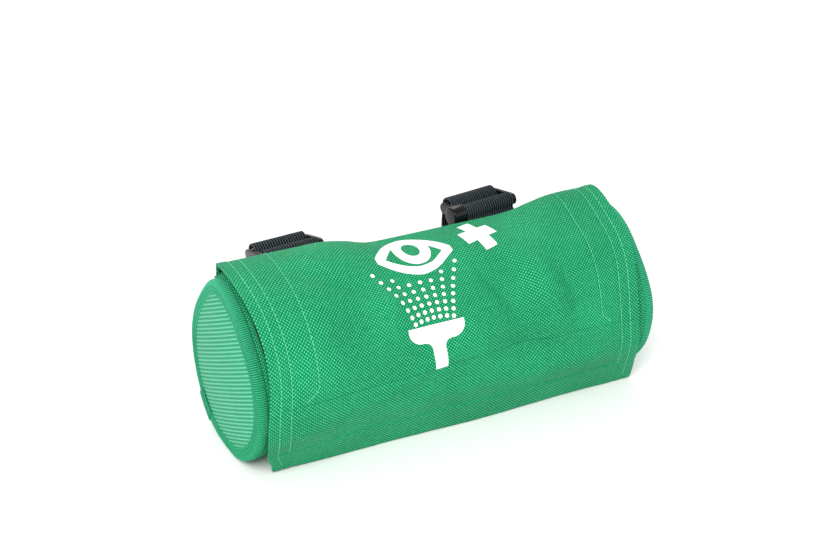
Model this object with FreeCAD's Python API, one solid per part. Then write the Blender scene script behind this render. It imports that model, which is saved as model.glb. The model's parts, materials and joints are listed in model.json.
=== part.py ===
import FreeCAD, Part
import math
import os

# Belt pouch with one bottle of eyewash saline, in millimetres.
# X runs along the pouch, -Y is its front, +Z is up. The origin is at the middle of the flat that the
# pouch rests on. Angles are measured about the pouch's axis from +Y (back) over +Z (top) to -Y (front).

# ---- driving dimensions ----
# Bottle
bottle_radius = 35.0
bottle_body_length = 130.0
bottle_wall = 1.2
shoulder_length = 18.0
neck_radius = 14.0
neck_length = 16.0
neck_wall = 2.0
label_length = 86.0
label_thickness = 0.25
insert_flange = 1.0
insert_depth = 7.0
spray_hole_radius = 0.9
spray_ring_radius = 5.5
spray_holes = 6
gasket_thickness = 0.8
cup_floor = 2.0
cup_skirt_length = 13.0
cup_mouth_radius = 29.0
cup_depth = 12.0
cup_wall = 2.0
cap_top = 2.0
cap_wall = 1.8
cap_skirt_length = 7.0
cap_pull = 13.0

# Pouch
bottle_play = 7.5
mouth_play = 1.0
collar_width = 9.5
wall = 1.5
end_wall = 1.5
bottom_flat = 0.8
mouth_back_angle = 62.0
mouth_front_angle = 186.0
binding_thickness = 1.0
binding_reach = 3.0
binding_lip = 6.0
mouth_tape = 0.7
mouth_tape_reach = 4.0

# Flap and its hook and loop
tape_thickness = 1.2
tape_gap = 0.3
flap_thickness = 1.5
flap_side_setback = 3.5
flap_turn_angle = 200.0
floor_gap = 0.8
hook_width = 25.0
hook_edge = 1.0
flap_hem = 12.0
front_loop_height = 17.0
root_strip_width = 5.2
root_gap = 1.0

# Belt straps
strap_positions = {"left": -62.0, "right": 51.0}
ring_tilts = {"left": -17.0, "right": -12.0}
tab_lifts = {"left": 8.5, "right": 10.2}
strap_bends = {"left": 56.0, "right": 62.0}
webbing_width = 30.0
webbing = 1.4
belt_gap = 8.5
sewn_start_angle = -62.0
sewn_end_angle = -46.0
strap_fillet = 8.0
tail_end_height = 34.0
tab_start_angle = 40.0
tab_end_angle = 53.0
tab_angle = 49.5
ring_bar_radius = 2.5
ring_bar_spacing = 16.0
ring_end_radius = 3.2
ring_end_thickness = 2.5
ring_end_gap = 0.5
ring_boss_radius = 5.2
ring_boss_length = 6.0
ring_boss_side = "right"
ring_slack = 1.4
tab_slack = 0.3

# Print on the flap
print_thickness = 0.15
print_centre = -14.5
print_base = 71.5
cross_offset = 40.5
cross_height = 48.0
cross_size = 19.0
cross_arm = 6.4

# Clearances
seat_gap = 0.3
snug_gap = 0.05

# ---- worked out from them ----
widest = max(bottle_radius, cup_mouth_radius + seat_gap + cap_wall)
pouch_inner = widest + bottle_play
pouch_radius = pouch_inner + wall
axis_z = pouch_radius - bottom_flat
neck_top_offset = bottle_body_length + shoulder_length + neck_length
cup_floor_offset = neck_top_offset + insert_flange + gasket_thickness + seat_gap
cup_rim_offset = cup_floor_offset + cup_depth
cap_top_offset = cup_rim_offset + seat_gap + cap_top
mouth_length = cap_top_offset + cap_pull + 2 * mouth_play
mouth_half = mouth_length / 2
wall_half = mouth_half + collar_width
panel_half = wall_half + end_wall
pouch_half = panel_half + binding_thickness
bottle_x = -mouth_half + mouth_play
bottle_z = wall + seat_gap + widest
loop_outer = pouch_radius + tape_thickness
flap_inner = loop_outer + tape_gap + tape_thickness
flap_outer = flap_inner + flap_thickness
flap_half = pouch_half - binding_thickness - end_wall - flap_side_setback
hinge_radius = flap_inner + flap_thickness / 2


def polar(radius, angle, centre=(0.0, axis_z)):
    """A point (y, z) at a radius and angle about a centre, by default the pouch's axis."""
    turn = math.radians(angle)
    return (centre[0] + radius * math.cos(turn), centre[1] + radius * math.sin(turn))


def at(point, x=0.0):
    """A (y, z) point as a 3-D vector in the plane at x."""
    return FreeCAD.Vector(x, point[0], point[1])


def save(name, shape):
    """One sub-part to its own STEP file."""
    shape = shape.removeSplitter()
    if not shape.isValid():
        raise RuntimeError("%s is not a valid solid" % name)
    shape.exportStep("parts/%s.step" % name)


def drum(radius, x0, x1, centre_z=axis_z):
    """A solid cylinder along X."""
    return Part.makeCylinder(radius, x1 - x0, FreeCAD.Vector(x0, 0, centre_z), FreeCAD.Vector(1, 0, 0))


def above(shape, height):
    """The part of a shape that lies above a height."""
    size = 4 * (pouch_half + pouch_radius)
    corner = FreeCAD.Vector(-size / 2, -size / 2, height)
    return shape.common(Part.makeBox(size, size, size, corner))


def prism(edges, x0, x1):
    """A closed outline in the YZ plane, drawn at x = 0, as a solid from x0 to x1."""
    face = Part.Face(Part.Wire(Part.__sortEdges__(edges)))
    face.translate(FreeCAD.Vector(x0, 0, 0))
    return face.extrude(FreeCAD.Vector(x1 - x0, 0, 0))


def revolved(points, start):
    """Points (distance along X from start, radius) turned about the bottle's axis."""
    outline = [FreeCAD.Vector(start + along, radius, 0) for along, radius in points]
    face = Part.Face(Part.makePolygon(outline + outline[:1]))
    solid = face.revolve(FreeCAD.Vector(0, 0, 0), FreeCAD.Vector(1, 0, 0), 360)
    solid.translate(FreeCAD.Vector(0, 0, bottle_z))
    return solid


# ---- strips of tape and webbing: a centre line of runs and arcs, thickened ----

def line(start, end):
    return {"kind": "line", "start": start, "end": end}


def arc(centre, radius, start, end):
    """An arc from one angle to another; a falling angle turns clockwise."""
    return {"kind": "arc", "centre": centre, "radius": radius, "start": start, "end": end}


def arc_on_pouch(radius, start, end):
    return arc((0.0, axis_z), radius, start, end)


def side_of(piece, shift):
    """One side of a centre-line piece, shifted to its left: end points and the edge between them."""
    if piece["kind"] == "line":
        dy = piece["end"][0] - piece["start"][0]
        dz = piece["end"][1] - piece["start"][1]
        length = math.hypot(dy, dz)
        normal = (-dz / length * shift, dy / length * shift)
        start = (piece["start"][0] + normal[0], piece["start"][1] + normal[1])
        end = (piece["end"][0] + normal[0], piece["end"][1] + normal[1])
        return start, end, Part.makeLine(at(start), at(end))
    inward = 1 if piece["end"] > piece["start"] else -1
    radius = piece["radius"] - inward * shift
    middle_angle = (piece["start"] + piece["end"]) / 2
    ends = [polar(radius, angle, piece["centre"]) for angle in (piece["start"], middle_angle, piece["end"])]
    edge = Part.Arc(*[at(point) for point in ends]).toShape()
    return ends[0], ends[2], edge


def strip(pieces, thickness, x0, x1):
    """A strip of even thickness along a centre line, from x0 to x1."""
    left = [side_of(piece, thickness / 2) for piece in pieces]
    right = [side_of(piece, -thickness / 2) for piece in pieces]
    edges = [side[2] for side in left + right]
    edges.append(Part.makeLine(at(left[0][0]), at(right[0][0])))
    edges.append(Part.makeLine(at(left[-1][1]), at(right[-1][1])))
    return prism(edges, x0, x1)


def rounded(points, radius):
    """Runs between points with an arc of one radius at each inner point."""
    pieces = []
    start = points[0]
    for before, corner, after in zip(points, points[1:], points[2:]):
        heading_in = math.atan2(corner[1] - before[1], corner[0] - before[0])
        heading_out = math.atan2(after[1] - corner[1], after[0] - corner[0])
        turn = math.remainder(heading_out - heading_in, 2 * math.pi)
        side = 1 if turn > 0 else -1
        reach = radius * math.tan(abs(turn) / 2)
        arc_start = (corner[0] - reach * math.cos(heading_in), corner[1] - reach * math.sin(heading_in))
        centre = (arc_start[0] - side * radius * math.sin(heading_in),
                  arc_start[1] + side * radius * math.cos(heading_in))
        first_angle = math.degrees(heading_in) - side * 90
        last_angle = first_angle + math.degrees(turn)
        pieces.append(line(start, arc_start))
        pieces.append(arc(centre, radius, first_angle, last_angle))
        start = polar(radius, last_angle, centre)
    pieces.append(line(start, points[-1]))
    return pieces


def tangent_point(point, centre, radius, side):
    """Where a straight run from a point touches a circle, passing it on its left (1) or right (-1)."""
    dy, dz = centre[0] - point[0], centre[1] - point[1]
    distance = math.hypot(dy, dz)
    heading = math.atan2(dz, dy) + side * math.asin(radius / distance)
    reach = math.sqrt(distance ** 2 - radius ** 2)
    return (point[0] + reach * math.cos(heading), point[1] + reach * math.sin(heading))


# ---- pouch ----

def hollow_drum():
    """The rolled wall of the pouch, squashed flat where it rests."""
    outside = above(drum(pouch_radius, -wall_half, wall_half), 0)
    inside = above(drum(pouch_inner, -wall_half - 1, wall_half + 1), wall)
    return outside.cut(inside)


def sector(inner, outer, start, end, x0, x1):
    """A stretch of a tube about the pouch's axis."""
    middle = (inner + outer) / 2
    return strip([arc_on_pouch(middle, start, end)], outer - inner, x0, x1)


def make_pouch_wall():
    mouth = sector(pouch_inner - 1, pouch_radius + 1, mouth_back_angle, mouth_front_angle,
                   -mouth_half, mouth_half)
    return hollow_drum().cut(mouth)


def make_end_panel(side):
    panel = above(drum(pouch_radius, wall_half, panel_half), 0)
    return mirrored(panel, side)


def mirrored(shape, side):
    """The right-hand piece as it is, or its mirror image for the left."""
    if side == "right":
        return shape
    return shape.mirror(FreeCAD.Vector(0, 0, 0), FreeCAD.Vector(1, 0, 0))


def make_end_binding(side):
    """Tape over the seam: a band round the wall and a lip on the end panel."""
    outer = pouch_radius + binding_thickness
    band = drum(outer, wall_half - binding_reach, pouch_half)
    band = band.cut(drum(pouch_radius, wall_half - binding_reach - 1, panel_half))
    band = band.cut(drum(pouch_radius - binding_lip, panel_half - 1, pouch_half + 1))
    return mirrored(above(band, 0), side)


def make_mouth_binding():
    """Tape folded over the front edge of the mouth."""
    edge = mouth_front_angle
    lap = math.degrees(mouth_tape_reach / pouch_radius)
    fold = math.degrees(mouth_tape / pouch_radius)
    half = mouth_half - 0.5
    tape = sector(pouch_inner - mouth_tape, pouch_radius + mouth_tape, edge - fold, edge + lap, -half, half)
    return tape.cut(sector(pouch_inner, pouch_radius, edge, edge + lap + 1, -half - 1, half + 1))


def make_flap_root():
    """The sewn seam just behind the flap's hinge line."""
    back = mouth_back_angle - math.degrees((root_strip_width + root_gap) / pouch_radius)
    front = mouth_back_angle - math.degrees(root_gap / pouch_radius)
    return sector(pouch_radius, flap_inner - 1, back, front, -flap_half, flap_half)


def make_side_loop(side):
    x0 = mouth_half + tape_gap
    x1 = wall_half - binding_reach - tape_gap
    tape = sector(pouch_radius, loop_outer, mouth_back_angle + 4, mouth_front_angle - 4, x0, x1)
    return mirrored(tape, side)


def make_front_loop():
    start = mouth_front_angle + math.degrees((mouth_tape_reach + tape_gap) / pouch_radius)
    end = start + math.degrees(front_loop_height / pouch_radius)
    half = mouth_half - collar_width
    return sector(pouch_radius, loop_outer, start, end, -half, half)


# ---- flap ----

def flap_heading():
    turn = math.radians(flap_turn_angle)
    return (-math.sin(turn), math.cos(turn))


def flap_path(radius, start_angle, bottom):
    """An arc over the top and a straight skirt down to a height at its outer face."""
    heading = flap_heading()
    corner = polar(radius, flap_turn_angle)
    outer_corner = polar(flap_outer, flap_turn_angle)
    length = (outer_corner[1] - bottom) / -heading[1]
    end = (corner[0] + length * heading[0], corner[1] + length * heading[1])
    return [arc_on_pouch(radius, start_angle, flap_turn_angle), line(corner, end)]


def make_flap_panel():
    sheet = strip(flap_path(hinge_radius, mouth_back_angle, floor_gap), flap_thickness, -flap_half, flap_half)
    root = polar(hinge_radius, mouth_back_angle)
    fold = Part.makeCylinder(flap_thickness / 2, 2 * flap_half, at(root, -flap_half), FreeCAD.Vector(1, 0, 0))
    return sheet.fuse(fold)


def make_hook(start_angle, x0, x1):
    radius = flap_inner - tape_thickness / 2
    return strip(flap_path(radius, start_angle, flap_hem), tape_thickness, x0, x1)


def make_side_hook(side):
    x1 = flap_half - hook_edge
    return mirrored(make_hook(mouth_back_angle + 5, x1 - hook_width, x1), side)


def make_front_hook():
    half = flap_half - hook_edge - hook_width - tape_gap
    return make_hook(mouth_front_angle + 1, -half, half)


# ---- print on the flap, drawn flat and laid on it ----

def wrap(shape, x, arc_length):
    """A flat drawing, extruded along +Z, set on the flap where arc_length is measured from its edge."""
    outer_corner = polar(flap_outer, flap_turn_angle)
    skirt = (outer_corner[1] - floor_gap) / -flap_heading()[1]
    angle = flap_turn_angle - math.degrees((arc_length - skirt) / flap_outer)
    turn = math.radians(angle)
    point = at(polar(flap_outer - 1, angle), x)
    across = FreeCAD.Vector(1, 0, 0)
    outward = FreeCAD.Vector(0, math.cos(turn), math.sin(turn))
    upward = outward.cross(across)
    rotation = FreeCAD.Rotation(across, upward, outward, "ZXY")
    placed = shape.copy()
    placed.Placement = FreeCAD.Placement(point, rotation)
    return placed


def skin():
    """The thin shell on the flap's outside that the print fills."""
    return sector(flap_outer, flap_outer + print_thickness, mouth_back_angle + 1, flap_turn_angle,
                  -flap_half + 1, flap_half - 1)


def pad(face):
    return face.extrude(FreeCAD.Vector(0, 0, 4))


def disc(radius, x=0.0, y=0.0):
    return Part.Face(Part.Wire(Part.makeCircle(radius, FreeCAD.Vector(x, y, 0))))


def lens(half_width, half_height):
    """An eye outline: two equal arcs that meet at the tips."""
    tips = [FreeCAD.Vector(-half_width, 0, 0), FreeCAD.Vector(half_width, 0, 0)]
    arcs = [Part.Arc(tips[0], FreeCAD.Vector(0, way * half_height, 0), tips[1]).toShape() for way in (1, -1)]
    return Part.Face(Part.Wire(Part.__sortEdges__(arcs)))


def make_eye():
    rim = lens(20.0, 14.5).cut(lens(14.0, 9.8))
    iris = disc(9.8).cut(disc(4.8))
    return pad(rim.fuse(iris))


def make_nozzle():
    head = Part.makePlane(30.0, 8.0, FreeCAD.Vector(-15.0, -8.0, 0))
    stem = Part.makePlane(6.6, 16.0, FreeCAD.Vector(-3.3, -22.6, 0))
    return pad(head.fuse(stem))


def make_cross():
    arm = Part.makePlane(cross_size, cross_arm, FreeCAD.Vector(-cross_size / 2, -cross_arm / 2, 0))
    post = Part.makePlane(cross_arm, cross_size, FreeCAD.Vector(-cross_arm / 2, -cross_size / 2, 0))
    return pad(arm.fuse(post))


def drop_places():
    """Drops that fan out from the nozzle to the eye, as (across, up) from the nozzle's top edge."""
    columns = 7
    places = []
    for row in range(8):
        height = 3.2 + 3.4 * row + 0.17 * row ** 2
        half_width = 10.5 + 0.9 * row + 0.12 * row ** 2
        for column in range(columns):
            share = 2 * column / (columns - 1) - 1
            beside_eye = row < 6 or (row == 6 and abs(share) > 0.6) or abs(share) > 0.9
            if beside_eye:
                places.append((share * half_width, height - 1.5 * share ** 2))
    return places


def make_print():
    pieces = [wrap(make_eye(), print_centre, print_base + 45.0),
              wrap(make_nozzle(), print_centre, print_base),
              wrap(make_cross(), print_centre + cross_offset, print_base + cross_height)]
    drop = pad(disc(1.15))
    pieces += [wrap(drop, print_centre + across, print_base + up) for across, up in drop_places()]
    shell = skin()
    return Part.makeCompound([shell.common(piece) for piece in pieces])


# ---- belt straps ----

def ring_bars(side):
    """The centres of a ring's front and outer bars, as (y, z)."""
    front = polar(pouch_radius + tab_lifts[side], tab_angle)
    return front, polar(ring_bar_spacing, ring_tilts[side], front)


def make_ring_tab(side, x0, x1):
    """A short tab sewn to the pouch whose loop holds the ring's front bar."""
    front = ring_bars(side)[0]
    inner = ring_bar_radius + tab_slack
    outer = inner + webbing
    base = sector(pouch_radius, pouch_radius + webbing, tab_start_angle, tab_end_angle, x0, x1)
    lap = math.degrees(webbing / pouch_radius)
    neck_top = pouch_radius + tab_lifts[side] - inner - webbing / 2
    neck = sector(pouch_radius + webbing / 2, neck_top, tab_angle - lap, tab_angle + lap, x0, x1)
    along = FreeCAD.Vector(1, 0, 0)
    loop = Part.makeCylinder(outer, x1 - x0, at(front, x0), along)
    bore = Part.makeCylinder(inner, x1 - x0 + 2, at(front, x0 - 1), along)
    return base.fuse([neck, loop]).cut(bore)


def make_ring(side, x0, x1):
    """Two round bars between two flat oval ends; one ring has a round boss on an end of its front bar."""
    front, outer = ring_bars(side)
    along = FreeCAD.Vector(1, 0, 0)
    inner0, inner1 = x0 - ring_end_gap, x1 + ring_end_gap
    ends = []
    for start in (inner0 - ring_end_thickness, inner1):
        discs = [Part.makeCylinder(ring_end_radius, ring_end_thickness, at(bar, start), along)
                 for bar in (front, outer)]
        plate = strip([line(front, outer)], 2 * ring_end_radius, start, start + ring_end_thickness)
        ends.append(discs[0].fuse([discs[1], plate]).removeSplitter())
    length = inner1 - inner0 + ring_end_thickness
    bars = [Part.makeCylinder(ring_bar_radius, length, at(bar, inner0 - ring_end_thickness / 2), along)
            for bar in (front, outer)]
    pieces = [ends[1]] + bars
    if side == ring_boss_side:
        boss_length = ring_end_thickness + ring_boss_length
        pieces.append(Part.makeCylinder(ring_boss_radius, boss_length, at(front, inner0 - boss_length), along))
    return ends[0].fuse(pieces)


def strap_layout(side):
    """The places that a strap, its fold and its tail pass through, as (y, z)."""
    fold_centre = ring_bars(side)[1]
    fold_radius = ring_bar_radius + ring_slack + webbing / 2
    strap_y = pouch_radius + belt_gap + webbing / 2
    tail_y = strap_y + webbing + 2 * tape_thickness + tape_gap
    leave = polar(pouch_radius + webbing / 2, sewn_end_angle)
    slope = math.radians(sewn_end_angle + 90)
    low_bend = (strap_y, leave[1] + (strap_y - leave[0]) * math.tan(slope))
    high_bend = (strap_y, strap_bends[side])
    tail_bend = (tail_y, strap_bends[side] + 1)
    fold_in = tangent_point(high_bend, fold_centre, fold_radius, 1)
    fold_out = tangent_point(tail_bend, fold_centre, fold_radius, -1)
    reach = math.hypot(tail_bend[0] - fold_out[0], tail_bend[1] - fold_out[1])
    share = (webbing / 2 + seat_gap) / reach
    hinge = tuple(a + (b - a) * share for a, b in zip(fold_out, tail_bend))
    return {"fold_centre": fold_centre, "fold_radius": fold_radius, "leave": leave, "low_bend": low_bend,
            "high_bend": high_bend, "tail_bend": tail_bend, "fold_in": fold_in, "fold_out": fold_out,
            "hinge": hinge}


def angle_about(centre, point):
    return math.degrees(math.atan2(point[1] - centre[1], point[0] - centre[0]))


def make_belt_strap(side, x0, x1):
    """Sewn low on the back, up over the belt gap, through the ring and over its outer bar."""
    places = strap_layout(side)
    centre = places["fold_centre"]
    start, end = angle_about(centre, places["fold_in"]), angle_about(centre, places["fold_out"])
    while end > start:
        end -= 360
    path = [arc_on_pouch(pouch_radius + webbing / 2, sewn_start_angle, sewn_end_angle)]
    path += rounded([places["leave"], places["low_bend"], places["high_bend"], places["fold_in"]],
                    strap_fillet)
    path.append(arc(centre, places["fold_radius"], start, end))
    return strip(path, webbing, x0, x1)


def make_strap_tail(side, x0, x1):
    """The loose end of the strap, folded back down outside it."""
    places = strap_layout(side)
    hinge, bend = places["hinge"], places["tail_bend"]
    tail = strip(rounded([hinge, bend, (bend[0], tail_end_height)], strap_fillet), webbing, x0, x1)
    return tail.fuse(Part.makeCylinder(webbing / 2, x1 - x0, at(hinge, x0), FreeCAD.Vector(1, 0, 0)))


def patch(inner_y, z0, z1, x0, x1):
    return Part.makeBox(x1 - x0, tape_thickness, z1 - z0, FreeCAD.Vector(x0, inner_y, z0))


def make_loop_patch(side, x0, x1):
    places = strap_layout(side)
    low, high = places["low_bend"], places["high_bend"]
    return patch(low[0] + webbing / 2, low[1] + strap_fillet / 2, high[1] - strap_fillet / 2, x0, x1)


def make_hook_patch(side, x0, x1):
    bend = strap_layout(side)["tail_bend"]
    inner_y = bend[0] - webbing / 2 - tape_thickness
    return patch(inner_y, tail_end_height + 3, bend[1] - strap_fillet / 2, x0, x1)


# ---- bottle ----

def make_bottle_body():
    """A squeeze bottle lying along the pouch, hollow up to its neck's mouth."""
    shoulder = bottle_body_length + shoulder_length
    base_round = 4.0
    outside = [(0, 0), (0, bottle_radius - base_round), (base_round, bottle_radius),
               (bottle_body_length, bottle_radius), (bottle_body_length + 6, bottle_radius - 2.5),
               (shoulder, neck_radius), (neck_top_offset, neck_radius)]
    bore = neck_radius - neck_wall
    inside = [(neck_top_offset, bore), (shoulder + 1, bore),
              (bottle_body_length + 5, bottle_radius - bottle_wall - 2.5),
              (bottle_body_length - 1, bottle_radius - bottle_wall),
              (base_round, bottle_radius - bottle_wall),
              (bottle_wall, bottle_radius - bottle_wall - base_round + 1), (bottle_wall, 0)]
    return revolved(outside + inside, bottle_x)


def make_saline():
    gap = bottle_wall + snug_gap
    points = [(gap, 0), (gap, bottle_radius - gap - 3.2), (4.2, bottle_radius - gap),
              (bottle_body_length - 1, bottle_radius - gap),
              (bottle_body_length + 4.9, bottle_radius - gap - 2.6), (bottle_body_length + 4.9, 0)]
    return revolved(points, bottle_x)


def make_label():
    start = (bottle_body_length - label_length) / 2
    outer = bottle_radius + label_thickness
    points = [(start, bottle_radius), (start, outer), (start + label_length, outer),
              (start + label_length, bottle_radius)]
    return revolved(points, bottle_x)


def make_spray_insert():
    """A flanged plug in the neck with a ring of spray holes."""
    plug = neck_radius - neck_wall - snug_gap
    points = [(neck_top_offset - insert_depth, 0), (neck_top_offset - insert_depth, plug),
              (neck_top_offset, plug), (neck_top_offset, neck_radius - 1),
              (neck_top_offset + insert_flange, neck_radius - 1), (neck_top_offset + insert_flange, 0)]
    insert = revolved(points, bottle_x)
    start = bottle_x + neck_top_offset - insert_depth - 1
    for index in range(spray_holes):
        turn = 2 * math.pi * index / spray_holes
        centre = FreeCAD.Vector(start, spray_ring_radius * math.cos(turn),
                                bottle_z + spray_ring_radius * math.sin(turn))
        hole = Part.makeCylinder(spray_hole_radius, insert_depth + 3, centre, FreeCAD.Vector(1, 0, 0))
        insert = insert.cut(hole)
    return insert


def make_gasket():
    start = neck_top_offset + insert_flange
    inner = spray_ring_radius + spray_hole_radius + 1.5
    points = [(start, inner), (start, neck_radius - 1), (start + gasket_thickness, neck_radius - 1),
              (start + gasket_thickness, inner)]
    return revolved(points, bottle_x)


def make_eye_cup():
    """A screw collar over the neck and a flared cup that fits over the eye."""
    collar_in = neck_radius + seat_gap
    collar_out = collar_in + 3.4
    floor = cup_floor_offset
    rim = cup_rim_offset
    start = floor - cup_skirt_length
    hole = spray_ring_radius + spray_hole_radius + 1.0
    points = [(start, collar_in), (start, collar_out), (floor, collar_out),
              (rim - 3, cup_mouth_radius), (rim, cup_mouth_radius), (rim, cup_mouth_radius - cup_wall),
              (rim - 3, cup_mouth_radius - cup_wall), (floor + cup_floor, collar_out - 1),
              (floor + cup_floor, hole), (floor, hole), (floor, collar_in)]
    return revolved(points, bottle_x)


def make_dust_cap():
    inner = cup_mouth_radius + seat_gap
    outer = inner + cap_wall
    under = cup_rim_offset + seat_gap
    top = under + cap_top
    start = top - cap_skirt_length
    points = [(start, inner), (start, outer), (top - 1, outer), (top, outer - 1), (top, 0), (under, 0),
              (under, inner)]
    return revolved(points, bottle_x)


def build():
    os.makedirs("parts", exist_ok=True)
    save("pouch_wall", make_pouch_wall())
    save("mouth_binding", make_mouth_binding())
    save("flap_root_seam", make_flap_root())
    save("front_loop_tape", make_front_loop())
    save("flap_panel", make_flap_panel())
    save("front_hook_tape", make_front_hook())
    save("flap_print", make_print())
    for side in ("left", "right"):
        save(side + "_end_panel", make_end_panel(side))
        save(side + "_end_binding", make_end_binding(side))
        save(side + "_loop_tape", make_side_loop(side))
        save(side + "_hook_tape", make_side_hook(side))
        x0 = strap_positions[side] - webbing_width / 2
        x1 = x0 + webbing_width
        save(side + "_ring_tab", make_ring_tab(side, x0, x1))
        save(side + "_strap_ring", make_ring(side, x0, x1))
        save(side + "_belt_strap", make_belt_strap(side, x0, x1))
        save(side + "_strap_tail", make_strap_tail(side, x0, x1))
        save(side + "_strap_loop_patch", make_loop_patch(side, x0 + 1, x1 - 1))
        save(side + "_tail_hook_patch", make_hook_patch(side, x0 + 1, x1 - 1))
    save("bottle_body", make_bottle_body())
    save("saline_fill", make_saline())
    save("bottle_label", make_label())
    save("spray_insert", make_spray_insert())
    save("neck_gasket", make_gasket())
    save("eye_cup", make_eye_cup())
    save("dust_cap", make_dust_cap())
    for side in ("left", "right"):
        places = strap_layout(side)
        print(side, "tail hinge", places["hinge"], "ring hinge", ring_bars(side)[0])
    print("flap hinge", polar(hinge_radius, mouth_back_angle), "pouch half length", pouch_half,
          "bottle axis height", bottle_z, "mouth half", mouth_half)


build()
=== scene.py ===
import json
import math
import bmesh
import bpy
from mathutils import Matrix, Vector, noise


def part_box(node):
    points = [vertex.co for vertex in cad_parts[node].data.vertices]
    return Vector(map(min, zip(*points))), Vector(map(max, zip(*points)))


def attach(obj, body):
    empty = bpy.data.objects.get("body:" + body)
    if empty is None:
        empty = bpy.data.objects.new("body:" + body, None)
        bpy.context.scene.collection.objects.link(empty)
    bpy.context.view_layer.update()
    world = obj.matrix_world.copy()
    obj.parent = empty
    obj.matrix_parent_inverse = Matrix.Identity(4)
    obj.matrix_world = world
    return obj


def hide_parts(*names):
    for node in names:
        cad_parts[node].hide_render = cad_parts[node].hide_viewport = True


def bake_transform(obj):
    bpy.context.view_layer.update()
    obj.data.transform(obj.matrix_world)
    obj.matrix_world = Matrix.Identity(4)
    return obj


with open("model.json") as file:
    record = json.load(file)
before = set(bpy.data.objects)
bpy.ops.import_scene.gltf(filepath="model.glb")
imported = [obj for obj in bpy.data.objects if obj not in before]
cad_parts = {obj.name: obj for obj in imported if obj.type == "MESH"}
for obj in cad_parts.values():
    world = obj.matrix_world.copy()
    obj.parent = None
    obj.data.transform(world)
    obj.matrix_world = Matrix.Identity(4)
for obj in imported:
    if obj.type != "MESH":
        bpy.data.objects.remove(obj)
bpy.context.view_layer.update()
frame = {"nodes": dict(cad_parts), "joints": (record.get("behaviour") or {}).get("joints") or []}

# ---- sizes, in millimetres, read from the frame or the same as in the part's design ----
MM = 0.001


def box_mm(node):
    """Lowest and highest corner of a CAD node, in millimetres."""
    low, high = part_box(node)
    return low / MM, high / MM


def joint_place(name):
    """A joint's place in the frame, in millimetres."""
    found = [joint for joint in frame["joints"] if joint["name"] == name]
    return Vector(found[0]["pos_m"]) / MM


wall_high = box_mm("pouch_wall")[1]
flap_low, flap_high = box_mm("flap_panel")
POUCH_RADIUS = wall_high.y
AXIS_Z = wall_high.z - POUCH_RADIUS
WALL_HALF = wall_high.x
WALL_THICK = 1.5
FLAP_RADIUS = flap_high.z - AXIS_Z
FLAP_HALF = flap_high.x
FLAP_THICK = 1.5
FLAP_LOWEST = flap_low.z
FLAP_TURN = math.radians(200)
HINGE = joint_place("flap_open")
HINGE_ANGLE = math.atan2(HINGE.z - AXIS_Z, HINGE.y)
TAPE_THICK = 1.2
WEBBING_THICK = 1.4
HEM_SIDE = 5.2
HEM_BOTTOM = 17.0
TAPE_LINE_OUTER = 10.5
TAPE_LINE_INNER = 23.5
TAPE_LINE_LOW = 48.0
INNER_ROW_FOOT = 7.0  # the inner rows of stitches end this far above the low row
MOUTH_HALF = 97.7
MOUTH_BACK = math.radians(62)
MOUTH_FRONT = math.radians(186)
BOTTLE_Z = joint_place("cup_unscrew").z


# ---- small tools ----

def ramp(start, end, value):
    """0 before start, 1 after end, smooth between."""
    share = min(1.0, max(0.0, (value - start) / (end - start)))
    return share * share * (3 - 2 * share)


def hump(value, centre, width):
    return math.exp(-((value - centre) / width) ** 2)


def turn_hump(angle, centre, width):
    """A hump on a circle, angles in degrees."""
    return hump((angle - centre + 180) % 360 - 180, 0, width)


def ripple(x, y, size, seed=0.0):
    """Smooth unevenness of about -1 to 1 at a size in millimetres."""
    return noise.noise(Vector((x / size, y / size, seed)))


def select_only(obj):
    bpy.ops.object.select_all(action="DESELECT")
    obj.select_set(True)
    bpy.context.view_layer.objects.active = obj


def apply_modifier(obj, kind, **settings):
    """One modifier with its settings, applied."""
    select_only(obj)
    modifier = obj.modifiers.new(kind.lower(), kind)
    for name, value in settings.items():
        setattr(modifier, name, value)
    bpy.ops.object.modifier_apply(modifier=modifier.name)
    return obj


def new_object(name, data):
    """An object in the scene, at the origin."""
    obj = bpy.data.objects.new(name, data)
    bpy.context.scene.collection.objects.link(obj)
    return obj


def mesh_piece(name, points, faces, uvs=None):
    """A new object from points in millimetres, smooth shaded, with its cloth coordinates in metres."""
    mesh = bpy.data.meshes.new(name)
    mesh.from_pydata([Vector(point) * MM for point in points], [], faces)
    if uvs:
        layer = mesh.uv_layers.new(name="cloth")
        for loop in mesh.loops:
            layer.data[loop.index].uv = (uvs[loop.vertex_index][0] * MM, uvs[loop.vertex_index][1] * MM)
    mesh.update()
    mesh.polygons.foreach_set("use_smooth", [True] * len(mesh.polygons))
    return new_object(name, mesh)


def steps(start, end, pitch):
    """Evenly spaced values from start to end, both included."""
    count = max(1, round(abs(end - start) / pitch))
    return [start + (end - start) * index / count for index in range(count + 1)]


def with_lines(values, lines):
    """The values with closer ones beside each line, for a groove there."""
    extra = [line + shift for line in lines for shift in (-0.9, -0.45, 0.0, 0.45, 0.9)]
    low, high = min(values), max(values)
    merged = sorted(values + [value for value in extra if low < value < high])
    kept = [merged[0]]
    for value in merged[1:]:
        if value - kept[-1] > 0.2:
            kept.append(value)
    kept[-1] = high
    return kept


def cloth_sheet(name, columns, rows, place, keep=None):
    """A one-sided grid of cloth: place(column, row) is a point, keep(column, row) says if a cell stays."""
    points = [place(column, row) for row in rows for column in columns]
    uvs = [(column, row) for row in rows for column in columns]
    wide = len(columns)
    faces = []
    for j in range(len(rows) - 1):
        for i in range(wide - 1):
            middle = ((columns[i] + columns[i + 1]) / 2, (rows[j] + rows[j + 1]) / 2)
            if keep is None or keep(*middle):
                corner = j * wide + i
                faces.append((corner, corner + 1, corner + wide + 1, corner + wide))
    return mesh_piece(name, points, faces, uvs)


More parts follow.
